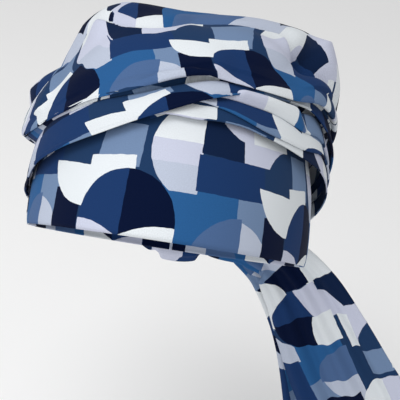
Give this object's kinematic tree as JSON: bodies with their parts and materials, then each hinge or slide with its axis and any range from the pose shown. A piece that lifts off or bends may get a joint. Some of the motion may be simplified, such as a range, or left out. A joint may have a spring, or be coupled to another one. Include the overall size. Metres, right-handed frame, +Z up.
{
  "type": "tie-on turban",
  "caption": "Worn cloth turban with a smooth brow band, a full crown bag, two wraps that cross at the front, a nape knot and two hanging tie ends.",
  "frame": {"origin": "centre of the tilted head opening, in the plane of the brow band's lower edge", "axes": "+Z up, -Y the way the wearer faces, +X to the wearer's left; the head opening is tilted 34 degrees, brow high and nape low"},
  "size_m": [0.2681, 0.2093, 0.3273],
  "materials": {
    "printed_cotton": "fine plain weave with a blue and white geometric print"
  },
  "bodies": {
    "root": {"brow_band": "printed_cotton", "crown": "printed_cotton", "right_wrap": "printed_cotton", "left_wrap": "printed_cotton", "knot": "printed_cotton", "tie_end_upper": "printed_cotton", "tie_end_under": "printed_cotton"}
  },
  "joints": []
}
